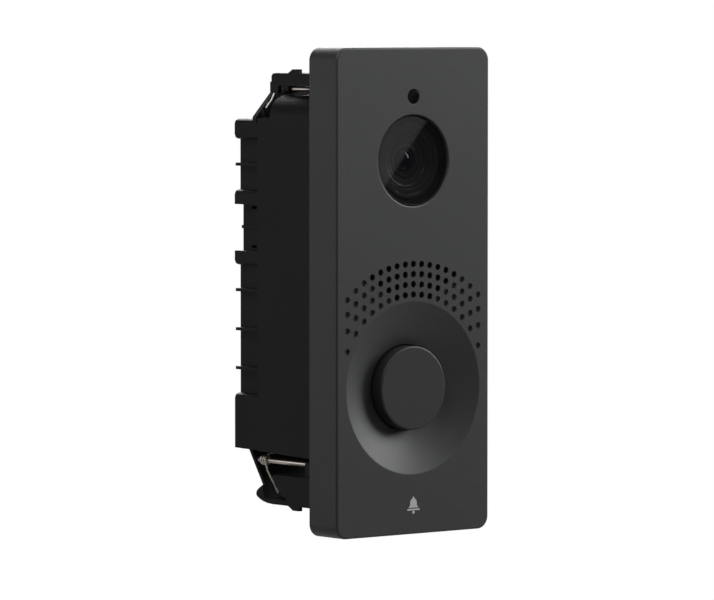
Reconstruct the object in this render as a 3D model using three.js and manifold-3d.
// Flush-mounted video doorbell: a front plate that carries the electronics, a back box for a
// plasterboard wall, and two spring-loaded clamp wings that grip the board from behind.
//
// Millimetres. +Z is up, the front faces -Y, and X runs to the right as seen from the front.
// The origin is the centre of the front plate's rear face, which lies on the wall's surface.

import * as THREE from "three";
import { mergeVertices } from "three/addons/utils/BufferGeometryUtils.js";
import Module from "manifold-3d";

const wasm = await Module();
wasm.setup();

// ---------------------------------------------------------------------------
// Driving dimensions
// ---------------------------------------------------------------------------

const clearance = 0.3; // between a piece and the pocket or hole that is cut for it
const seat = 0.1; // between two flat faces that rest on each other
const running = 0.1; // radial play of a pin in its bore

const plate = { width: 84, height: 206.5, depth: 18.25, corner: 5.5, bevel: 0.8, skin: 2.5, wall: 3 };
const camera = { z: 55.4, radius: 19.36, glassInset: 1, glass: 1.6, seal: 0.7, ledgeWidth: 2.9 };
const cameraBoard = { gap: 8.75, thickness: 1.2, screwMargin: 2.8, topMargin: 5, corner: 1.5 };
const shroud = { bore: 7.8, steps: [[14.6, 14.2], [12.4, 12], [10.3, 9.9]], stepDepth: 1 };
const lens = { barrelRadius: 7.4, mouthRadius: 5.9, boreRadius: 4.6, radius: 4.3 };
const sensor = { rise: 7.74, radius: 3.2, inset: 0.3, collar: 1.2 }; // rise: from the window's edge
const dish = { z: -41.06, rimRadius: 36.7, floorRadius: 18.5, depth: 6, wall: 2, backRimRadius: 37.6 };
const button = { radius: 17.8, wall: 2, flange: 1.3, flangeLip: 2.7, travel: 1.2, postRadius: 2.2, seal: 0.6 };
const grille = { pitch: 4.508, columns: 8, rows: 4, firstRadius: 39.754, rowStep: 4.336, holeRadius: 1.3 };
const openColumns = [2, 3, 4, 5]; // how far out from the middle each row's holes go right through
const dimpleDepth = 1.3;

const rib = { halfWidth: 33.2, bottom: -70, topMargin: 7.5, thickness: 2, backY: -6.3 };
const ribCorner = { outer: 2.5, inner: 0.8 };
const speaker = { z: 7.5, length: 58, height: 26, rim: 1.7, collarDepth: 1.2, frameDepth: 8, magnet: 9 };
const retainer = { radius: 26, hole: 8, thickness: 1.4, screwCircle: 23.6, bossRadius: 2.3 };
const board = { thickness: 1.6, halfWidth: 27, bottom: -56, top: 63, frontY: 4 };
const cover = { halfWidth: 30.5, bottom: -59, top: 67, wall: 1.8, shallowY: 9.2, deepY: 29, stepZ: -20 };
const coverFlange = { thickness: 1.7, screwInset: 4.4, seal: 0.8 };
const socket = { width: 16, height: 14.6, length: 17, mouthWidth: 12, mouthHeight: 8.3, mouthDepth: 14 };

const frame = { sideGap: 1.5, endGap: 2.25, corner: 3, thickness: 1.2, frontY: -2 };
const frameScrew = { x: 24, top: 74, bottom: -63.5, hole: 1.9 };
const hook = { inset: 2.6, innerX: 20, outerX: 28, reach: 7 };
const wallOpening = { sideMargin: 0.7, halfHeight: 93.5 };
const lockScrew = { y: -7, radius: 1.5, headRadius: 2.8, headHeight: 1.5 };

const box = { halfWidth: 35, frontY: 0.3, rearY: 60, wall: 2.5, topFront: 74.4, topRear: 72.4 };
const boxFloor = { front: -71.5, rear: -69.4 };
const boxStep = { topZ: 82.8, rearY: 35.6, corner: 9 };
const boxNotch = { frontY: 44.2, depth: 3.15, rib: 1.35, ribSetback: 0.5, corner: 2 };
// The box's full-width stretches, each from its low to its high Z.
const boxPads = [[63.8, 72.4], [35.7, 42], [9.6, 15.7], [-69.6, -45.8]];
const boxRibs = [52.9, -1.2, -18.1, -34.9];
const knockout = { bottom: 16.9, top: 34.8, depth: 4.75, slot: 1.1, slotLength: 3.2, slotGap: 1.2 };
const grommet = { z: -52, neckRadius: 7.8, flangeRadius: 10, flange: 1.3, boreRadius: 4 };

const pin = { radius: 1.2, frontY: 1.5 };
const knuckle = { radius: 2.2 };
const springWire = 0.45; // radius of the torsion springs' wire
const coilRadius = 1.8;
const wing = { outerZ: 92.2, thickness: 2.2, left: -35, right: 33, frontY: 0.6, wall: 2 };
const barb = { frontY: 16, flatY: 20.2, rearY: 23.4, height: 1.8, width: 2, count: 5 };
const topHinge = { x: -22.8, z: 85.4, bracketFrontY: 45, bracketRearY: 47.5 };
const bottomHinge = { x: -31, z: -74, bracketFrontY: 48.5, bracketRearY: 50.1 };

// ---------------------------------------------------------------------------
// Derived positions
// ---------------------------------------------------------------------------

const sensorZ = camera.z + camera.radius + sensor.rise;
const ribTop = sensorZ + rib.topMargin;
const frontY = -plate.depth;
const skinBackY = frontY + plate.skin;
const dishFloorY = frontY + dish.depth;
const dishBackY = dishFloorY + dish.wall;
const glassFrontY = frontY + camera.glassInset;
const glassBackY = glassFrontY + camera.glass;
const ledgeY = glassBackY + camera.seal + 2 * seat;
const buttonFlangeY = dishBackY + button.seal + 2 * seat;
const retainerY = buttonFlangeY + button.flange + button.travel + 0.15;
const coverSealY = rib.backY + seat;
const coverFlangeY = coverSealY + coverFlange.seal + seat;
const cameraBoardY = skinBackY + cameraBoard.gap;
const boardBackY = board.frontY + board.thickness;
const frameBackY = frame.frontY + frame.thickness;
const frameHalfWidth = plate.width / 2 - plate.wall - frame.sideGap;
const frameHalfHeight = plate.height / 2 - plate.wall - frame.endGap;
const hookZ = frameHalfHeight - hook.inset;

// ---------------------------------------------------------------------------
// Materials
// ---------------------------------------------------------------------------

function material(color, roughness, metalness) {
  return new THREE.MeshStandardMaterial({ color, roughness, metalness });
}

const looks = {
  coatedMetal: material(0x3c3d3e, 0.62, 0.35),
  blackPlastic: material(0x1b1c1d, 0.55, 0),
  glass: material(0x101113, 0.06, 0),
  gloss: material(0x08080a, 0.12, 0),
  rubber: material(0x151515, 0.85, 0),
  steel: material(0xb9b2a8, 0.3, 1),
  tin: material(0xc8c9c6, 0.38, 1),
  boardGreen: material(0x15502f, 0.5, 0),
  chip: material(0x202124, 0.45, 0),
  cloth: material(0x121213, 0.95, 0),
  paper: material(0x3a3630, 0.9, 0),
  nickel: material(0xa7a8aa, 0.28, 1),
  terminalGreen: material(0x2c7a3c, 0.5, 0),
};

// ---------------------------------------------------------------------------
// Shape helpers
// ---------------------------------------------------------------------------

function toSolid(geometry) {
  const bare = geometry.clone();
  bare.deleteAttribute("normal");
  bare.deleteAttribute("uv");
  const merged = mergeVertices(bare, 1e-4);
  const corners = Array.from(merged.index.array);
  const triangles = [];
  for (let i = 0; i < corners.length; i += 3) {
    const [a, b, c] = corners.slice(i, i + 3);
    if (a !== b && b !== c && c !== a) {
      triangles.push(a, b, c);
    }
  }
  const vertProperties = new Float32Array(merged.attributes.position.array);
  const triVerts = new Uint32Array(triangles);
  return new wasm.Manifold(new wasm.Mesh({ numProp: 3, vertProperties, triVerts }));
}

function toGeometry(solid) {
  const result = solid.getMesh();
  const geometry = new THREE.BufferGeometry();
  geometry.setAttribute("position", new THREE.BufferAttribute(new Float32Array(result.vertProperties), 3));
  geometry.setIndex(new THREE.BufferAttribute(new Uint32Array(result.triVerts), 1));
  return geometry;
}

function join(solids) {
  return solids.reduce((whole, next) => whole.add(next));
}

function cut(solid, tools) {
  return tools.reduce((left, tool) => left.subtract(tool), solid);
}

function block(x0, x1, y0, y1, z0, z1) {
  const geometry = new THREE.BoxGeometry(x1 - x0, y1 - y0, z1 - z0);
  geometry.translate((x0 + x1) / 2, (y0 + y1) / 2, (z0 + z1) / 2);
  return toSolid(geometry);
}

function cylinderY(radius, y0, y1, x = 0, z = 0, segments = 24) {
  const geometry = new THREE.CylinderGeometry(radius, radius, y1 - y0, segments);
  geometry.translate(x, (y0 + y1) / 2, z);
  return toSolid(geometry);
}

// Turns a closed profile of [radius, y] points about the Y axis. The faces come out facing
// outwards whichever way round the profile is listed.
function latheGeometry(profile, segments) {
  const points = profile.map(([radius, y]) => new THREE.Vector2(radius, y));
  if (THREE.ShapeUtils.area(points) < 0) {
    points.reverse();
  }
  const onAxis = points[0].x === 0 && points.at(-1).x === 0;
  if (!onAxis) {
    points.push(points[0].clone());
  }
  return new THREE.LatheGeometry(points, segments);
}

function latheY(profile, segments = 32, x = 0, z = 0) {
  const geometry = latheGeometry(profile, segments);
  geometry.translate(x, 0, z);
  return toSolid(geometry);
}

function ringY(inner, outer, y0, y1, segments = 32, x = 0, z = 0) {
  return latheY([[inner, y0], [outer, y0], [outer, y1], [inner, y1]], segments, x, z);
}

// Extrudes an outline drawn in X and Z from y0 to y1.
function extrudeY(shape, y0, y1, curveSegments = 3, bevel = 0) {
  const geometry = new THREE.ExtrudeGeometry(shape, {
    depth: y1 - y0 - 2 * bevel,
    curveSegments,
    bevelEnabled: bevel > 0,
    bevelThickness: bevel,
    bevelSize: bevel,
    bevelOffset: -bevel,
    bevelSegments: 2,
  });
  geometry.rotateX(Math.PI / 2);
  geometry.translate(0, y1 - bevel, 0);
  return toSolid(geometry);
}

// Extrudes an outline drawn in Y and Z from x0 to x1.
function extrudeX(shape, x0, x1, curveSegments = 3) {
  const geometry = new THREE.ExtrudeGeometry(shape, { depth: x1 - x0, curveSegments, bevelEnabled: false });
  const axes = new THREE.Matrix4().makeBasis(
    new THREE.Vector3(0, 1, 0),
    new THREE.Vector3(0, 0, 1),
    new THREE.Vector3(1, 0, 0),
  );
  geometry.applyMatrix4(axes);
  geometry.translate(x0, 0, 0);
  return toSolid(geometry);
}

function polygon(points) {
  return new THREE.Shape(points.map(([a, b]) => new THREE.Vector2(a, b)));
}

function roundedRectangle(left, right, bottom, top, radius) {
  const shape = new THREE.Shape();
  shape.moveTo(left + radius, bottom);
  shape.lineTo(right - radius, bottom);
  shape.absarc(right - radius, bottom + radius, radius, -Math.PI / 2, 0);
  shape.lineTo(right, top - radius);
  shape.absarc(right - radius, top - radius, radius, 0, Math.PI / 2);
  shape.lineTo(left + radius, top);
  shape.absarc(left + radius, top - radius, radius, Math.PI / 2, Math.PI);
  shape.lineTo(left, bottom + radius);
  shape.absarc(left + radius, bottom + radius, radius, Math.PI, Math.PI * 1.5);
  shape.closePath();
  return shape;
}

// A long slot shape, with half-round ends, centred at height z.
function racetrack(length, height, z) {
  return roundedRectangle(-length / 2, length / 2, z - height / 2, z + height / 2, height / 2 - 0.01);
}

// A round wire of the given radius along a smooth curve through the points.
function wire(points, radius, steps, sides = 5) {
  const curve = new THREE.CatmullRomCurve3(points, false, "centripetal");
  const section = new THREE.Shape();
  for (let side = 0; side < sides; side += 1) {
    const angle = (side / sides) * 2 * Math.PI;
    const corner = [radius * Math.cos(angle), radius * Math.sin(angle)];
    if (side === 0) {
      section.moveTo(...corner);
    } else {
      section.lineTo(...corner);
    }
  }
  section.closePath();
  return new THREE.ExtrudeGeometry(section, { steps, extrudePath: curve, bevelEnabled: false });
}

// Points on a helix about an axis that runs along Y.
function helixY(x, z, radius, y0, y1, turns, startAngle, pointsPerTurn) {
  const count = Math.round(Math.abs(turns) * pointsPerTurn);
  const points = [];
  for (let i = 0; i <= count; i += 1) {
    const part = i / count;
    const angle = startAngle + part * turns * 2 * Math.PI;
    const px = x + radius * Math.cos(angle);
    const pz = z + radius * Math.sin(angle);
    points.push(new THREE.Vector3(px, y0 + part * (y1 - y0), pz));
  }
  return points;
}

const doorbell = new THREE.Group();

function place(name, shape, look, position = [0, 0, 0], rotation = [0, 0, 0]) {
  const geometry = shape.isBufferGeometry ? shape : toGeometry(shape);
  const mesh = new THREE.Mesh(geometry, look.clone());
  mesh.name = name;
  mesh.position.set(...position);
  mesh.rotation.set(...rotation);
  doorbell.add(mesh);
}

// A pan-head screw along Y. Its head's underside is at y = 0 and its shank points to -Y.
function screwGeometry(shankRadius, length, headRadius, headHeight) {
  const driveRadius = headRadius * 0.45;
  const driveDepth = headHeight * 0.6;
  const profile = [
    [0, -length],
    [shankRadius, -length],
    [shankRadius, 0],
    [headRadius, 0],
    [headRadius, headHeight],
    [driveRadius, headHeight],
    [driveRadius, headHeight - driveDepth],
    [0, headHeight - driveDepth],
  ];
  return latheGeometry(profile, 8);
}

// ---------------------------------------------------------------------------
// Places that several pieces share
// ---------------------------------------------------------------------------

const sideSigns = [-1, 1];

const retainerScrewPlaces = [90, 210, 330].map((degrees) => {
  const angle = THREE.MathUtils.degToRad(degrees);
  return [retainer.screwCircle * Math.cos(angle), dish.z + retainer.screwCircle * Math.sin(angle)];
});

const coverBossRadius = 3;
const cameraBossRadius = 2.4;
const screwShank = 1.1;

// The camera board's lower screw stands diagonally below the lens, clear of the shroud.
const shroudRadius = camera.radius - camera.ledgeWidth - clearance - 0.1;
const cameraScrewX = (shroudRadius + cameraBossRadius + 5 * clearance) * Math.SQRT1_2;
const cameraScrewPlaces = [[-cameraScrewX, sensorZ + 2], [cameraScrewX, camera.z - cameraScrewX]];

const coverScrewX = rib.halfWidth - coverFlange.screwInset;
const coverScrewPlaces = [
  [-coverScrewX, rib.bottom + coverFlange.screwInset],
  [coverScrewX, rib.bottom + coverFlange.screwInset],
  [-coverScrewX, ribTop - coverFlange.screwInset],
  [coverScrewX, ribTop - coverFlange.screwInset],
];

const frameScrewPlaces = [frameScrew.bottom, frameScrew.top].flatMap((z) => {
  return sideSigns.map((sign) => [sign * frameScrew.x, z]);
});

// ---------------------------------------------------------------------------
// Front plate
// ---------------------------------------------------------------------------

function grillePlaces() {
  const places = [];
  for (let row = 0; row < grille.rows; row += 1) {
    const radius = grille.firstRadius + grille.rowStep * row;
    for (let column = -grille.columns; column <= grille.columns; column += 1) {
      const x = column * grille.pitch;
      const z = dish.z + Math.sqrt(radius * radius - x * x);
      places.push({ x, z, open: Math.abs(column) <= openColumns[row] });
    }
  }
  return places;
}

function frontPlate() {
  const halfWidth = plate.width / 2;
  const halfHeight = plate.height / 2;
  const outline = roundedRectangle(-halfWidth, halfWidth, -halfHeight, halfHeight, plate.corner);
  const overrun = 3;
  const blank = extrudeY(outline, frontY, overrun, 3, plate.bevel);
  const behindWall = block(-halfWidth - 1, halfWidth + 1, 0, overrun + 1, -halfHeight - 1, halfHeight + 1);
  const hollow = roundedRectangle(
    -halfWidth + plate.wall,
    halfWidth - plate.wall,
    -halfHeight + plate.wall,
    halfHeight - plate.wall,
    plate.corner - plate.wall,
  );
  const shell = cut(blank, [behindWall, extrudeY(hollow, skinBackY, overrun + 1)]);

  const ribOutline = roundedRectangle(-rib.halfWidth, rib.halfWidth, rib.bottom, ribTop, ribCorner.outer);
  const ribHole = roundedRectangle(
    -rib.halfWidth + rib.thickness,
    rib.halfWidth - rib.thickness,
    rib.bottom + rib.thickness,
    ribTop - rib.thickness,
    ribCorner.inner,
  );
  const ribWall = extrudeY(ribOutline, skinBackY - 0.5, rib.backY).subtract(
    extrudeY(ribHole, skinBackY - 1, rib.backY + 1),
  );

  const dishBoss = latheY(
    [
      [0, skinBackY - 0.5],
      [dish.backRimRadius, skinBackY - 0.5],
      [dish.backRimRadius, skinBackY],
      [dish.floorRadius + 4, dishBackY],
      [0, dishBackY],
    ],
    36,
    0,
    dish.z,
  );
  const ledgeBoss = cylinderY(camera.radius + 2.6, skinBackY - 0.5, ledgeY + 2, 0, camera.z, 24);
  const speakerCollar = extrudeY(
    racetrack(speaker.length, speaker.height, speaker.z),
    skinBackY - 0.5,
    skinBackY + speaker.collarDepth,
    4,
  ).subtract(
    extrudeY(
      racetrack(speaker.length - 2 * speaker.rim, speaker.height - 2 * speaker.rim, speaker.z),
      skinBackY - 1,
      skinBackY + 3,
      4,
    ),
  );
  const retainerBosses = retainerScrewPlaces.map(([x, z]) => {
    return cylinderY(retainer.bossRadius, skinBackY - 0.5, retainerY - seat, x, z, 8);
  });
  const cameraBosses = cameraScrewPlaces.map(([x, z]) => {
    return cylinderY(cameraBossRadius, skinBackY - 0.5, cameraBoardY - seat, x, z, 8);
  });
  const coverBosses = coverScrewPlaces.map(([x, z]) => {
    return cylinderY(coverBossRadius, skinBackY - 0.5, rib.backY, x, z, 8);
  });
  const shelves = sideSigns.map((sign) => {
    const ends = [sign * (hook.innerX - 1), sign * (hook.outerX + 1)].sort((a, b) => a - b);
    return block(...ends, skinBackY - 0.5, -4, hookZ + frame.thickness + clearance, halfHeight - 1);
  });
  const bossed = join([
    shell,
    ribWall,
    dishBoss,
    ledgeBoss,
    speakerCollar,
    ...retainerBosses,
    ...cameraBosses,
    ...coverBosses,
    ...shelves,
  ]);

  const dishCone = latheY(
    [
      [0, frontY - 1],
      [dish.rimRadius + ((dish.rimRadius - dish.floorRadius) / dish.depth), frontY - 1],
      [dish.floorRadius, dishFloorY],
      [dish.floorRadius, dishBackY + 1],
      [0, dishBackY + 1],
    ],
    36,
    0,
    dish.z,
  );
  const windowPocket = cylinderY(camera.radius, frontY - 1, ledgeY, 0, camera.z, 32);
  const windowBore = cylinderY(camera.radius - camera.ledgeWidth, ledgeY - 1, ledgeY + 4, 0, camera.z, 24);
  const sensorBore = cylinderY(sensor.radius, frontY - 1, skinBackY + 1, 0, sensorZ, 12);
  const collarRadius = sensor.radius + sensor.collar + clearance;
  const collarRoom = cylinderY(collarRadius, skinBackY, cameraBoardY, 0, sensorZ, 16);
  const grilleHoles = grillePlaces().map(({ x, z, open }) => {
    if (open) {
      return cylinderY(grille.holeRadius, frontY - 1, skinBackY + 1, x, z, 6);
    }
    const lead = 0.5;
    const rim = grille.holeRadius * (1 + lead / dimpleDepth);
    return latheY([[0, frontY - lead], [rim, frontY - lead], [0, frontY + dimpleDepth]], 6, x, z);
  });
  const pilotHoles = [
    ...retainerScrewPlaces.map(([x, z]) => cylinderY(screwShank + running, retainerY - 5, 0, x, z, 8)),
    ...cameraScrewPlaces.map(([x, z]) => cylinderY(screwShank + running, cameraBoardY - 6, 0, x, z, 8)),
    ...coverScrewPlaces.map(([x, z]) => cylinderY(screwShank + running, rib.backY - 7, 0, x, z, 8)),
  ];
  const lockHole = new THREE.CylinderGeometry(lockScrew.radius + 0.2, lockScrew.radius + 0.2, 8, 12);
  lockHole.rotateX(Math.PI / 2);
  lockHole.translate(0, lockScrew.y, -halfHeight);
  const recessRadius = lockScrew.headRadius + clearance;
  const lockRecess = new THREE.CylinderGeometry(recessRadius, recessRadius, 4, 16);
  lockRecess.rotateX(Math.PI / 2);
  lockRecess.translate(0, lockScrew.y, -halfHeight + lockScrew.headHeight + 0.1 - 2);
  const micPort = new THREE.CylinderGeometry(0.8, 0.8, 8, 10);
  micPort.rotateX(Math.PI / 2);
  micPort.translate(microphonePlace.x, microphonePlace.y, -halfHeight);
  return cut(bossed, [
    dishCone,
    windowPocket,
    windowBore,
    sensorBore,
    collarRoom,
    ...grilleHoles,
    ...pilotHoles,
    toSolid(lockHole),
    toSolid(lockRecess),
    toSolid(micPort),
  ]);
}

const microphonePlace = { x: 20, y: -9.5 };
place("front_plate", frontPlate(), looks.coatedMetal);

// ---------------------------------------------------------------------------
// Camera and light sensor
// ---------------------------------------------------------------------------

function cameraStack() {
  const glassRadius = camera.radius - clearance;
  const ledgeInner = camera.radius - camera.ledgeWidth;
  const sealFront = glassBackY + seat;
  const shroudFront = sealFront + 0.2;
  const barrelFront = shroudFront + shroud.steps.length * shroud.stepDepth;
  const boardFront = cameraBoardY;
  const atLens = [0, 0, camera.z];

  const glass = latheGeometry(
    [
      [0, glassFrontY],
      [glassRadius - 0.4, glassFrontY],
      [glassRadius, glassFrontY + 0.4],
      [glassRadius, glassBackY],
      [0, glassBackY],
    ],
    32,
  );
  place("camera_window", glass, looks.glass, atLens);
  const seal = toGeometry(ringY(ledgeInner + 0.3, glassRadius, sealFront, sealFront + camera.seal, 32));
  place("window_seal", seal, looks.rubber, atLens);

  const stepCorners = shroud.steps.flatMap(([wide, narrow], index) => [
    [wide, shroudFront + index * shroud.stepDepth],
    [narrow, shroudFront + (index + 1) * shroud.stepDepth],
  ]);
  const funnel = latheGeometry(
    [
      [shroud.bore, boardFront - 3],
      [shroudRadius, boardFront - 3],
      [shroudRadius, shroudFront],
      ...stepCorners,
      [shroud.bore, shroudFront + shroud.steps.length * shroud.stepDepth],
    ],
    24,
  );
  place("camera_shroud", funnel, looks.blackPlastic, atLens);

  const barrel = latheGeometry(
    [
      [lens.boreRadius, boardFront - 2.2],
      [lens.barrelRadius, boardFront - 2.2],
      [lens.barrelRadius, barrelFront],
      [lens.mouthRadius, barrelFront],
      [lens.mouthRadius - 0.4, barrelFront + 1.4],
      [lens.boreRadius, barrelFront + 1.4],
    ],
    24,
  );
  place("lens_barrel", barrel, looks.blackPlastic, atLens);

  const frontElement = latheGeometry(
    [
      [0, barrelFront + 0.3],
      [lens.radius / 2, barrelFront + 0.5],
      [lens.radius - 0.3, barrelFront + 1.1],
      [lens.radius, barrelFront + 1.6],
      [lens.radius, barrelFront + 2.6],
      [0, barrelFront + 2.6],
    ],
    20,
  );
  place("lens_front_element", frontElement, looks.glass, atLens);

  const holderFront = boardFront - 2;
  const holder = cut(block(-9, 9, holderFront, boardFront - seat, camera.z - 9, camera.z + 9), [
    cylinderY(4.8, holderFront - 1, boardFront + 1, 0, camera.z, 20),
  ]);
  place("camera_holder", holder, looks.blackPlastic);
  const sensorChip = block(-3, 3, boardFront - 0.9, boardFront - seat, camera.z - 2.4, camera.z + 2.4);
  place("image_sensor", sensorChip, looks.gloss);

  const boardHalfWidth = cameraScrewX + cameraBoard.screwMargin;
  const boardOutline = roundedRectangle(
    -boardHalfWidth,
    boardHalfWidth,
    camera.z - boardHalfWidth,
    sensorZ + cameraBoard.topMargin,
    cameraBoard.corner,
  );
  const boardBack = boardFront + cameraBoard.thickness;
  const drillings = cameraScrewPlaces.map(([x, z]) => {
    return cylinderY(screwShank + running, boardFront - 1, boardBack + 1, x, z, 10);
  });
  place("camera_board", cut(extrudeY(boardOutline, boardFront, boardBack, 2), drillings), looks.boardGreen);
  const screw = screwGeometry(screwShank, 4.5, 2, 0.4);
  cameraScrewPlaces.forEach(([x, z], index) => {
    place(`camera_screw_${index + 1}`, screw, looks.steel, [x, boardBack + 0.05, z]);
  });
}

function lightSensor() {
  const pipeRadius = sensor.radius - 0.15;
  const packageFront = cameraBoardY - 1.5;
  const pipe = latheGeometry(
    [
      [0, frontY + sensor.inset],
      [pipeRadius, frontY + sensor.inset],
      [pipeRadius, skinBackY + seat],
      [pipeRadius + sensor.collar, skinBackY + seat],
      [pipeRadius + sensor.collar, skinBackY + 1],
      [pipeRadius * 0.7, skinBackY + 1],
      [pipeRadius * 0.7, packageFront - seat],
      [0, packageFront - seat],
    ],
    16,
  );
  place("sensor_window", pipe, looks.gloss, [0, 0, sensorZ]);
  const chip = block(-2, 2, packageFront, cameraBoardY - seat, sensorZ - 2, sensorZ + 2);
  place("light_sensor", chip, looks.chip);
}

cameraStack();
lightSensor();

// ---------------------------------------------------------------------------
// Call button
// ---------------------------------------------------------------------------

const capTopY = frontY + button.wall;
const flangeRadius = button.radius + button.flangeLip;
const switchFrontY = board.frontY - 4;
const plungerFrontY = switchFrontY - 2;
const postEndY = plungerFrontY - clearance;
const atDish = [0, 0, dish.z];

function callButton() {
  const flangeBack = buttonFlangeY + button.flange;
  const cap = latheGeometry(
    [
      [0, frontY],
      [button.radius - 0.5, frontY],
      [button.radius, frontY + 0.5],
      [button.radius, buttonFlangeY],
      [flangeRadius, buttonFlangeY],
      [flangeRadius, flangeBack],
      [button.radius - button.wall, flangeBack],
      [button.radius - button.wall, capTopY],
      [button.postRadius, capTopY],
      [button.postRadius, postEndY],
      [0, postEndY],
    ],
    32,
  );
  place("button_cap", cap, looks.coatedMetal, atDish);
  const sealFront = dishBackY + seat;
  const seal = toGeometry(ringY(dish.floorRadius + 0.5, flangeRadius, sealFront, sealFront + button.seal));
  place("button_seal", seal, looks.rubber, atDish);

  const retainerBack = retainerY + retainer.thickness;
  const drillings = retainerScrewPlaces.map(([x, z]) => {
    return cylinderY(screwShank + running, retainerY - 1, retainerBack + 1, x, z, 8);
  });
  const ring = ringY(retainer.hole, retainer.radius, retainerY, retainerBack, 28, 0, dish.z);
  place("button_retainer", cut(ring, drillings), looks.blackPlastic);
  const screw = screwGeometry(screwShank, 4, 2.2, 1.6);
  retainerScrewPlaces.forEach(([x, z], index) => {
    place(`retainer_screw_${index + 1}`, screw, looks.steel, [x, retainerBack + 0.05, z]);
  });

  const wireRadius = 0.45;
  const coilStart = capTopY + wireRadius + 0.15;
  const coilEnd = retainerY - wireRadius - 0.15;
  const coil = helixY(0, 0, 10.5, coilStart, coilEnd, 4, 0, 10);
  place("button_spring", wire(coil, wireRadius, 40), looks.steel, atDish);

  const plungerRadius = 1.7;
  const plunger = cylinderY(plungerRadius, plungerFrontY, switchFrontY + 1, 0, 0, 12);
  place("switch_plunger", plunger, looks.nickel, atDish);
  const switchBody = cut(block(-3.5, 3.5, switchFrontY, board.frontY - seat, -3.5, 3.5), [
    cylinderY(plungerRadius + 0.25, switchFrontY - 1, switchFrontY + 1 + button.travel + 0.5, 0, 0, 12),
  ]);
  place("button_switch", switchBody, looks.chip, atDish);
}

callButton();

// ---------------------------------------------------------------------------
// Speaker and microphone
// ---------------------------------------------------------------------------

function loudspeaker() {
  const innerLength = speaker.length - 2 * speaker.rim;
  const innerHeight = speaker.height - 2 * speaker.rim;
  const cloth = racetrack(innerLength - 2 * clearance, innerHeight - 2 * clearance, speaker.z);
  place("speaker_mesh", extrudeY(cloth, skinBackY + seat, skinBackY + seat + 0.5, 4), looks.cloth);

  const gasketFront = skinBackY + speaker.collarDepth + seat;
  const gasketBack = gasketFront + 0.8;
  const outer = racetrack(speaker.length, speaker.height, speaker.z);
  const inner = racetrack(innerLength, innerHeight, speaker.z);
  const gasket = extrudeY(outer, gasketFront, gasketBack, 4).subtract(
    extrudeY(inner, gasketFront - 1, gasketBack + 1, 4),
  );
  place("speaker_gasket", gasket, looks.rubber);

  const frameFront = gasketBack + seat;
  const frameBack = frameFront + speaker.frameDepth;
  const basket = cut(extrudeY(outer, frameFront, frameBack, 4), [
    extrudeY(inner, frameFront - 1, frameBack - 1.6, 4),
    cylinderY(speaker.magnet - 1.2, frameBack - 3, frameBack + 1, 0, speaker.z, 24),
  ]);
  place("speaker_frame", basket, looks.blackPlastic);

  const coneFront = frameFront + 0.6;
  const coneEdge = innerHeight / 2 - clearance;
  const cone = latheGeometry(
    [
      [0, coneFront + 2],
      [3, coneFront + 2.6],
      [coneEdge - 2, coneFront + 0.4],
      [coneEdge - 1, coneFront],
      [coneEdge, coneFront + 0.6],
      [coneEdge, coneFront + 1.1],
      [coneEdge - 1, coneFront + 0.6],
      [coneEdge - 2, coneFront + 1],
      [3, coneFront + 3.2],
      [0, coneFront + 2.6],
    ],
    24,
  );
  cone.scale((innerLength / 2 - clearance) / coneEdge, 1, 1);
  place("speaker_cone", cone, looks.paper, [0, 0, speaker.z]);
  const magnetFront = frameBack + seat;
  const magnet = cylinderY(speaker.magnet, magnetFront, magnetFront + 5, 0, speaker.z);
  place("speaker_magnet", magnet, looks.nickel);
}

function microphone() {
  const floorZ = -plate.height / 2 + plate.wall;
  const { x, y } = microphonePlace;
  const boot = cut(block(x - 4, x + 4, y - 4, y + 4, floorZ + seat, floorZ + 5), [
    block(x - 2.6, x + 2.6, y - 2.6, y + 2.6, floorZ + 2, floorZ + 6),
    block(x - 0.8, x + 0.8, y - 0.8, y + 0.8, floorZ - 1, floorZ + 3),
  ]);
  place("microphone_boot", boot, looks.rubber);
  const capsule = block(x - 2.4, x + 2.4, y - 2.4, y + 2.4, floorZ + 2 + seat, floorZ + 4.4);
  place("microphone", capsule, looks.tin);
}

loudspeaker();
microphone();

// ---------------------------------------------------------------------------
// Main board and what it carries
// ---------------------------------------------------------------------------

const socketFrontY = boardBackY + clearance;
const socketMouthZ = cover.stepZ;
const socketPlace = { x: 0, mouthY: socketFrontY + 4.7 };
const terminalPlace = { x: 19, width: 15, depth: 10, height: 9 };
const wireHole = { count: 3, pitch: 5, halfWidth: 1.6, frontGap: 3, depth: 6 };

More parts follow.
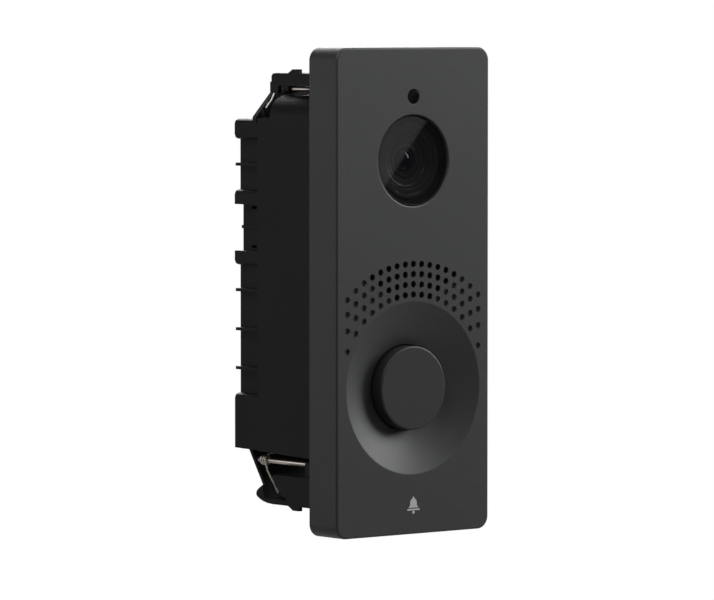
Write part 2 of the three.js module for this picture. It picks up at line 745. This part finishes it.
function mainBoard() {
  const outline = roundedRectangle(-board.halfWidth, board.halfWidth, board.bottom, board.top, 1.5);
  place("main_board", extrudeY(outline, board.frontY, boardBackY, 2), looks.boardGreen);

  const chipBack = boardBackY + seat + 1.3;
  place("processor", block(-16, -2, boardBackY + seat, chipBack, 20, 34), looks.chip);
  const can = block(-21, 3, boardBackY + seat, boardBackY + 3.4, 15, 39).subtract(
    block(-20.4, 2.4, boardBackY - 1, boardBackY + 2.8, 15.6, 38.4),
  );
  place("processor_shield", can, looks.tin);
  place("network_transformer", block(-8, 8, boardBackY + seat, boardBackY + 7, 0.5, 12.5), looks.chip);

  const { width, height, length, mouthWidth, mouthHeight, mouthDepth } = socket;
  const jack = block(
    -width / 2,
    width / 2,
    socketFrontY,
    socketFrontY + height,
    socketMouthZ,
    socketMouthZ + length,
  );
  const mouth = block(
    -mouthWidth / 2,
    mouthWidth / 2,
    socketPlace.mouthY,
    socketPlace.mouthY + mouthHeight,
    socketMouthZ - 1,
    socketMouthZ + mouthDepth,
  );
  place("network_socket", jack.subtract(mouth), looks.tin);

  const wires = [];
  for (let i = 0; i < wireHole.count; i += 1) {
    const x = terminalPlace.x + (i - 1) * wireHole.pitch;
    const holeFront = socketFrontY + wireHole.frontGap;
    wires.push(block(
      x - wireHole.halfWidth,
      x + wireHole.halfWidth,
      holeFront,
      holeFront + 2 * wireHole.halfWidth,
      socketMouthZ - 1,
      socketMouthZ + wireHole.depth,
    ));
  }
  const terminals = block(
    terminalPlace.x - terminalPlace.width / 2,
    terminalPlace.x + terminalPlace.width / 2,
    socketFrontY,
    socketFrontY + terminalPlace.height,
    socketMouthZ,
    socketMouthZ + terminalPlace.depth,
  );
  place("terminal_block", cut(terminals, wires), looks.terminalGreen);

  const capacitor = latheGeometry([[0, 0], [4, 0], [4, 10.4], [3.5, 11], [0, 11]], 16);
  [48, 57].forEach((z, index) => {
    place(`supply_capacitor_${index + 1}`, capacitor, looks.nickel, [16, boardBackY + seat, z]);
  });
}

mainBoard();

// ---------------------------------------------------------------------------
// Rear cover of the electronics
// ---------------------------------------------------------------------------

function rearCover() {
  const { halfWidth, bottom, top, wall, shallowY, deepY, stepZ } = cover;
  const flangeBack = coverFlangeY + coverFlange.thickness;
  const flangeOutline = roundedRectangle(-rib.halfWidth, rib.halfWidth, rib.bottom, ribTop, ribCorner.outer);
  const shallow = roundedRectangle(-halfWidth, halfWidth, bottom, top, 2.5);
  const deep = roundedRectangle(-halfWidth, halfWidth, stepZ - wall, top, 2.5);
  const shallowHollow = roundedRectangle(-halfWidth + wall, halfWidth - wall, bottom + wall, top - wall, 1);
  const deepHollow = roundedRectangle(-halfWidth + wall, halfWidth - wall, stepZ, top - wall, 1);
  const pillars = sideSigns.map((sign) => {
    return cylinderY(2.4, boardBackY + seat, deepY - 0.5, sign * 23.5, 59.5, 10);
  });
  const shell = cut(
    join([
      extrudeY(flangeOutline, coverFlangeY, flangeBack, 2),
      extrudeY(shallow, coverFlangeY, shallowY, 2),
      extrudeY(deep, coverFlangeY, deepY, 2),
    ]),
    [
      extrudeY(shallowHollow, coverFlangeY - 1, shallowY - wall, 2),
      extrudeY(deepHollow, coverFlangeY - 1, deepY - wall, 2),
    ],
  );
  const socketWindow = block(
    -socket.width / 2 - clearance,
    socket.width / 2 + clearance,
    shallowY,
    socketFrontY + socket.height + clearance,
    stepZ - wall - 1,
    stepZ + 1,
  );
  const terminalWindow = block(
    terminalPlace.x - terminalPlace.width / 2 - clearance,
    terminalPlace.x + terminalPlace.width / 2 + clearance,
    shallowY,
    socketFrontY + terminalPlace.height + clearance,
    stepZ - wall - 1,
    stepZ + 1,
  );
  const drillings = coverScrewPlaces.map(([x, z]) => {
    return cylinderY(screwShank + running, coverFlangeY - 1, flangeBack + 1, x, z, 10);
  });
  const body = cut(shell.add(join(pillars)), [socketWindow, terminalWindow, ...drillings]);
  place("unit_cover", body, looks.blackPlastic);

  const sealHole = roundedRectangle(
    -rib.halfWidth + rib.thickness,
    rib.halfWidth - rib.thickness,
    rib.bottom + rib.thickness,
    ribTop - rib.thickness,
    ribCorner.inner,
  );
  const sealCuts = coverScrewPlaces.map(([x, z]) => {
    return cylinderY(coverBossRadius + 0.4, coverSealY - 1, coverSealY + 2, x, z, 12);
  });
  const seal = cut(extrudeY(flangeOutline, coverSealY, coverSealY + coverFlange.seal, 2), [
    extrudeY(sealHole, coverSealY - 1, coverSealY + 2, 2),
    ...sealCuts,
  ]);
  place("cover_seal", seal, looks.rubber);

  const screw = screwGeometry(screwShank, 7, 2, 1.2);
  coverScrewPlaces.forEach(([x, z], index) => {
    place(`cover_screw_${index + 1}`, screw, looks.steel, [x, flangeBack + 0.05, z]);
  });
}

rearCover();

// ---------------------------------------------------------------------------
// Mounting frame, which hooks the plate to the back box
// ---------------------------------------------------------------------------

function mountingFrame() {
  const { corner, thickness, frontY: front } = frame;
  const outline = roundedRectangle(
    -frameHalfWidth,
    frameHalfWidth,
    -frameHalfHeight,
    frameHalfHeight,
    corner,
  );
  const passage = roundedRectangle(
    -cover.halfWidth - 0.5,
    cover.halfWidth + 0.5,
    cover.bottom - 0.5,
    cover.top + 0.5,
    2,
  );
  const topHooks = sideSigns.map((sign) => {
    const ends = [sign * hook.innerX, sign * hook.outerX].sort((a, b) => a - b);
    return block(...ends, front - hook.reach, front + 0.5, hookZ, hookZ + thickness);
  });
  const lockTab = block(-6, 6, lockScrew.y - 4, front + 0.5, -hookZ - thickness, -hookZ);
  const lockHole = new THREE.CylinderGeometry(lockScrew.radius + running, lockScrew.radius + running, 6, 12);
  lockHole.rotateX(Math.PI / 2);
  lockHole.translate(0, lockScrew.y, -hookZ);
  const sheet = extrudeY(outline, front, frameBackY, 2);
  const drillings = frameScrewPlaces.map(([x, z]) => {
    return cylinderY(frameScrew.hole, front - 1, frameBackY + 1, x, z, 12);
  });
  const body = cut(join([sheet, ...topHooks, lockTab]), [
    extrudeY(passage, front - 1, frameBackY + 1, 2),
    ...drillings,
    toSolid(lockHole),
  ]);
  place("mounting_frame", body, looks.tin);

  const screw = screwGeometry(1.6, 10, 3, 1.2);
  frameScrewPlaces.forEach(([x, z], index) => {
    place(`frame_screw_${index + 1}`, screw, looks.steel, [x, front - 0.05, z], [Math.PI, 0, 0]);
  });

  const headSeat = -plate.height / 2 + lockScrew.headHeight + 0.05;
  const lock = screwGeometry(lockScrew.radius, 9, lockScrew.headRadius, lockScrew.headHeight - 0.2);
  place("plate_lock_screw", lock, looks.steel, [0, lockScrew.y, headSeat], [-Math.PI / 2, 0, 0]);

  const openingHalfWidth = box.halfWidth + wallOpening.sideMargin;
  const gasketInner = roundedRectangle(
    -openingHalfWidth,
    openingHalfWidth,
    -wallOpening.halfHeight,
    wallOpening.halfHeight,
    corner / 2,
  );
  const gasket = extrudeY(outline, frameBackY + 0.05, -0.05, 2).subtract(
    extrudeY(gasketInner, frameBackY - 1, 1, 2),
  );
  place("wall_gasket", gasket, looks.rubber);
}

mountingFrame();

// ---------------------------------------------------------------------------
// Back box
// ---------------------------------------------------------------------------

// Outline of the notched rear part, in X and Z. The right edge mirrors the left.
function notchedOutline() {
  const outer = box.halfWidth;
  const floor = outer - boxNotch.depth;
  const panel = outer - knockout.depth;
  const r = boxNotch.corner;
  const half = boxNotch.rib / 2;
  const ribTip = outer - boxNotch.ribSetback;
  const edge = [[outer, boxPads[3][0]]];
  const padTop = (z) => edge.push([outer, z - r], [outer - r * 0.3, z - r * 0.3], [outer - r, z], [floor, z]);
  const padBottom = (z) => {
    edge.push([floor, z], [outer - r, z], [outer - r * 0.3, z + r * 0.3], [outer, z + r]);
  };
  const thinRib = (z) => {
    edge.push([floor, z - half], [ribTip, z - half], [ribTip, z + half], [floor, z + half]);
  };
  padTop(boxPads[3][1]);
  boxRibs.slice(1).reverse().forEach(thinRib);
  padBottom(boxPads[2][0]);
  edge.push([outer, knockout.bottom - 1.2], [panel, knockout.bottom - 1.2]);
  edge.push([panel, knockout.top + 0.9], [outer, knockout.top + 0.9]);
  padTop(boxPads[1][1]);
  thinRib(boxRibs[0]);
  padBottom(boxPads[0][0]);
  edge.push([outer, box.topRear - r], [outer - r * 0.3, box.topRear - r * 0.3], [outer - r, box.topRear]);
  const mirrored = edge.map(([x, z]) => [-x, z]).reverse();
  return polygon([...edge, ...mirrored]);
}

// A lug that holds a hinge pin near the box's front edge.
function pinLug(hinge, baseZ, y0, y1) {
  const low = Math.min(baseZ, hinge.z);
  const high = Math.max(baseZ, hinge.z);
  const radius = 2.3;
  return block(hinge.x - radius, hinge.x + radius, y0, y1, low, high).add(
    cylinderY(radius, y0, y1, hinge.x, hinge.z, 12),
  );
}

function backBox() {
  const { halfWidth, frontY: front, rearY, wall, topFront, topRear } = box;
  const slope = (topFront - topRear) / (rearY - front);
  const floorSlope = (boxFloor.rear - boxFloor.front) / (rearY - front);
  const sideView = polygon([
    [front, boxFloor.front],
    [rearY, boxFloor.rear],
    [rearY, topRear],
    [front, topFront],
  ]);
  const notchY = boxNotch.frontY;
  const wholeBody = extrudeX(sideView, -halfWidth, halfWidth);
  const frontBody = wholeBody.intersect(block(-50, 50, front - 1, notchY, -100, 100));
  const rearBody = extrudeY(notchedOutline(), notchY - 0.5, rearY).intersect(wholeBody);
  const stepBottom = boxFloor.front + 3;
  const stepOutline = roundedRectangle(-halfWidth, halfWidth, stepBottom, boxStep.topZ, boxStep.corner);
  const frontStep = extrudeY(stepOutline, front, boxStep.rearY, 3).intersect(
    block(-50, 50, front - 1, rearY, 0, 100),
  );
  const topBracket = extrudeY(
    polygon([
      [-halfWidth, topRear - 2],
      [-halfWidth, topRear + 1],
      [topHinge.x - 2.6, 83.8],
      [topHinge.x - 2.6, 88.4],
      [-topHinge.x + 2.6, 88.4],
      [-topHinge.x + 2.6, 83.8],
      [halfWidth - 2, topRear - 2],
    ].reverse()),
    topHinge.bracketFrontY,
    topHinge.bracketRearY,
  );
  const bottomBracket = extrudeY(
    polygon([
      [-halfWidth, boxFloor.rear + 2],
      [-halfWidth, boxFloor.rear - 0.3],
      [-27.9, -84.4],
      [-27.2, -86],
      [27.2, -86],
      [halfWidth - 2, boxFloor.rear + 2],
    ]),
    bottomHinge.bracketFrontY,
    bottomHinge.bracketRearY,
  );
  const springStop = block(-32.5, -28.9, 42.8, topHinge.bracketFrontY + 0.5, topRear - 1, 76.2);
  const frontLugs = [
    pinLug(topHinge, boxStep.topZ - 1.5, 1.2, 4.2),
    pinLug(bottomHinge, boxFloor.front + 1.5, 1.2, 3.4),
  ];
  const outside = join([
    frontBody,
    rearBody,
    frontStep,
    topBracket,
    bottomBracket,
    springStop,
    ...frontLugs,
  ]);

  const inner = halfWidth - wall;
  const rearInner = halfWidth - knockout.depth - 1.3;
  const narrowY = notchY - 2.2;
  const hollowSide = (y0, y1) => polygon([
    [y0, boxFloor.front + floorSlope * (y0 - front) + wall],
    [y1, boxFloor.front + floorSlope * (y1 - front) + wall],
    [y1, topFront - slope * (y1 - front) - wall],
    [y0, topFront - slope * (y0 - front) - wall],
  ]);
  const frontHollow = extrudeX(hollowSide(front - 1, narrowY), -inner, inner);
  const rearHollow = extrudeX(hollowSide(narrowY - 1, rearY - wall), -rearInner, rearInner);
  const stepHollow = extrudeY(
    roundedRectangle(-inner, inner, 0, boxStep.topZ - wall, boxStep.corner - wall),
    front - 1,
    boxStep.rearY - wall,
    3,
  );
  const hollowed = cut(outside, [frontHollow, rearHollow, stepHollow]);

  const towers = frameScrewPlaces.map(([x, z]) => {
    const root = z > 0 ? [z, boxStep.topZ - 1] : [boxFloor.front + 1, z];
    return block(x - 3, x + 3, front, 13, ...root).add(cylinderY(3, front, 13, x, z, 12));
  });
  const pinHoles = [topHinge, bottomHinge].flatMap((hinge) => [
    cylinderY(pin.radius + running, 0, 6, hinge.x, hinge.z, 16),
    cylinderY(pin.radius + running, 30, hinge.bracketRearY - 0.5, hinge.x, hinge.z, 16),
  ]);
  const slotYs = [0, 1].map((i) => 46.4 + i * (knockout.slotLength + knockout.slotGap));
  const slots = [knockout.bottom, knockout.top - knockout.slot].flatMap((z) => {
    return slotYs.flatMap((y) => sideSigns.map((sign) => {
      const ends = [sign * (rearInner - 1), sign * (halfWidth + 1)].sort((a, b) => a - b);
      return block(...ends, y, y + knockout.slotLength, z, z + knockout.slot);
    }));
  });
  const bumps = sideSigns.map((sign) => {
    const face = halfWidth - knockout.depth;
    const ends = [sign * (face - 0.5), sign * (face + 0.9)].sort((a, b) => a - b);
    return block(...ends, notchY, rearY, 25.2, 26.6);
  });
  const grommetHole = cylinderY(grommet.neckRadius + clearance, rearY - 5, rearY + 1, 0, grommet.z, 24);
  const screwHoles = frameScrewPlaces.map(([x, z]) => cylinderY(1.6 + running, 0, 11, x, z, 10));
  return cut(join([hollowed, ...towers, ...bumps]), [...pinHoles, ...slots, grommetHole, ...screwHoles]);
}

place("back_box", backBox(), looks.blackPlastic);

function cableGrommet() {
  const inside = box.rearY - box.wall;
  const profile = [
    [grommet.boreRadius, inside - seat - grommet.flange],
    [grommet.flangeRadius, inside - seat - grommet.flange],
    [grommet.flangeRadius, inside - seat],
    [grommet.neckRadius, inside - seat],
    [grommet.neckRadius, box.rearY - seat],
    [grommet.boreRadius, box.rearY - seat],
  ];
  place("cable_grommet", latheGeometry(profile, 24), looks.rubber, [0, 0, grommet.z]);
}

cableGrommet();

// ---------------------------------------------------------------------------
// Clamp wings with their pins and springs
// ---------------------------------------------------------------------------

// The row of teeth that catch behind the board. Each is an outline in Y and Z that stands on the
// wing's outer face. side is 1 for the top wing and -1 for the bottom wing.
function barbSolid(side) {
  const base = side * (wing.outerZ - 0.5);
  const crest = side * (wing.outerZ + barb.height);
  const rise = side * wing.outerZ;
  const points = [
    [barb.frontY, base],
    [barb.rearY, base],
    [barb.rearY, rise],
    [barb.flatY, crest],
    [barb.frontY, crest],
  ];
  const outline = polygon(side > 0 ? points : points.reverse());
  const step = (wing.right - wing.left - barb.width) / (barb.count - 1);
  const starts = Array.from({ length: barb.count }, (_, index) => wing.left + index * step);
  return join(starts.map((x) => extrudeX(outline, x, x + barb.width)));
}

function knuckleSolid(hinge, y0, y1, towardsZ) {
  const low = Math.min(hinge.z, towardsZ);
  const high = Math.max(hinge.z, towardsZ);
  const { radius } = knuckle;
  return block(hinge.x - radius, hinge.x + radius, y0, y1, low, high).add(
    cylinderY(radius, y0, y1, hinge.x, hinge.z, 16),
  );
}

function topWing() {
  const innerZ = wing.outerZ - wing.thickness;
  const slab = extrudeX(
    polygon([
      [wing.frontY, innerZ],
      [34.6, innerZ],
      [34.4, wing.outerZ - 1],
      [33.4, wing.outerZ],
      [wing.frontY, wing.outerZ],
    ]),
    wing.left,
    wing.right,
  );
  const sideWall = extrudeX(
    polygon([
      [wing.frontY, 86.9],
      [29.5, 86.9],
      [30.2, 83.8],
      [35.4, 83.8],
      [34.2, wing.outerZ - 1],
      [wing.frontY, wing.outerZ - 1],
    ]),
    wing.left,
    wing.left + wing.wall,
  );
  const tab = block(topHinge.x - 2.2, -10, 33, 44.4, innerZ, wing.outerZ);
  const stiffener = block(wing.right - 2, wing.right, wing.frontY, 34, innerZ - 3, innerZ + 1);
  const body = join([
    slab,
    sideWall,
    tab,
    stiffener,
    barbSolid(1),
    knuckleSolid(topHinge, 4.6, 10, innerZ + 1),
    knuckleSolid(topHinge, 35.2, 39.6, innerZ + 1),
  ]);
  return body.subtract(cylinderY(pin.radius + running, -1, 60, topHinge.x, topHinge.z, 16));
}

function bottomWing() {
  const outer = -wing.outerZ;
  const inner = outer + wing.thickness;
  const scoop = new THREE.Shape();
  scoop.moveTo(wing.frontY, outer);
  scoop.lineTo(34, outer);
  scoop.quadraticCurveTo(41.5, outer + 0.2, 45, outer + 3);
  scoop.quadraticCurveTo(46, outer + 4.6, 43.6, outer + 6.2);
  scoop.lineTo(41, outer + 7.8);
  scoop.lineTo(39.6, inner);
  scoop.lineTo(wing.frontY, inner);
  scoop.closePath();
  const floor = extrudeX(scoop, wing.left, wing.right, 4);
  const side = new THREE.Shape();
  side.moveTo(wing.frontY, outer + 1);
  side.lineTo(22, outer + 1);
  side.quadraticCurveTo(32, -86, 34.2, -80.8);
  side.lineTo(33.4, -79.5);
  side.lineTo(wing.frontY, -79.5);
  side.closePath();
  const sideWall = extrudeX(side, wing.left, wing.left + wing.wall, 3);
  const stiffener = block(wing.right - 2, wing.right, wing.frontY, 34, inner - 1, inner + 4);
  const body = join([
    floor,
    sideWall,
    stiffener,
    barbSolid(-1),
    knuckleSolid(bottomHinge, 3.8, 14, inner - 1),
  ]);
  return body.subtract(cylinderY(pin.radius + running, -1, 60, bottomHinge.x, bottomHinge.z, 16));
}

function point(x, y, z) {
  return new THREE.Vector3(x, y, z);
}

// Wire of the top spring: one leg rests on the box's stop, the other under the wing's tab.
function topSpring() {
  const { x, z } = topHinge;
  const coilFront = 40.7;
  const coilRear = 44;
  const boxLeg = [point(-30.8, 43.7, 77.1), point(-27.4, 43.8, 80.8)];
  const coil = helixY(x, z, coilRadius, coilRear, coilFront, -2.2, Math.PI * 0.95, 10);
  const wingLeg = [point(-19, coilFront - 0.1, 88), point(-12.4, coilFront - 0.1, 88.9)];
  return wire([...boxLeg, ...coil, ...wingLeg], springWire, 44);
}

// Wire of the bottom spring: one leg presses on the wing's floor, the other on the box.
function bottomSpring() {
  const { x, z } = bottomHinge;
  const coilFront = 41.8;
  const coilRear = 45.4;
  const wingLeg = [point(-28.8, 38, -88.2), point(-29.9, 39.2, -84.2), point(-32, 40.9, -78.6)];
  const coil = helixY(x, z, coilRadius, coilFront, coilRear, -2.3, Math.PI * 1.05, 10);
  const boxLeg = [point(-26.2, 46.1, -71.4), point(-19, 46.3, -71.2)];
  return wire([...wingLeg, ...coil, ...boxLeg], springWire, 46);
}

function wingPin(name, hinge) {
  const length = hinge.bracketRearY - 0.8 - pin.frontY;
  const rounding = 0.3;
  const profile = [
    [0, 0],
    [pin.radius - rounding, 0],
    [pin.radius, rounding],
    [pin.radius, length - rounding],
    [pin.radius - rounding, length],
    [0, length],
  ];
  place(name, latheGeometry(profile, 16), looks.steel, [hinge.x, pin.frontY, hinge.z]);
}

place("top_wing", topWing(), looks.blackPlastic);
place("bottom_wing", bottomWing(), looks.blackPlastic);
wingPin("top_wing_pin", topHinge);
wingPin("bottom_wing_pin", bottomHinge);
place("top_wing_spring", topSpring(), looks.steel);
place("bottom_wing_spring", bottomSpring(), looks.steel);

export default doorbell;
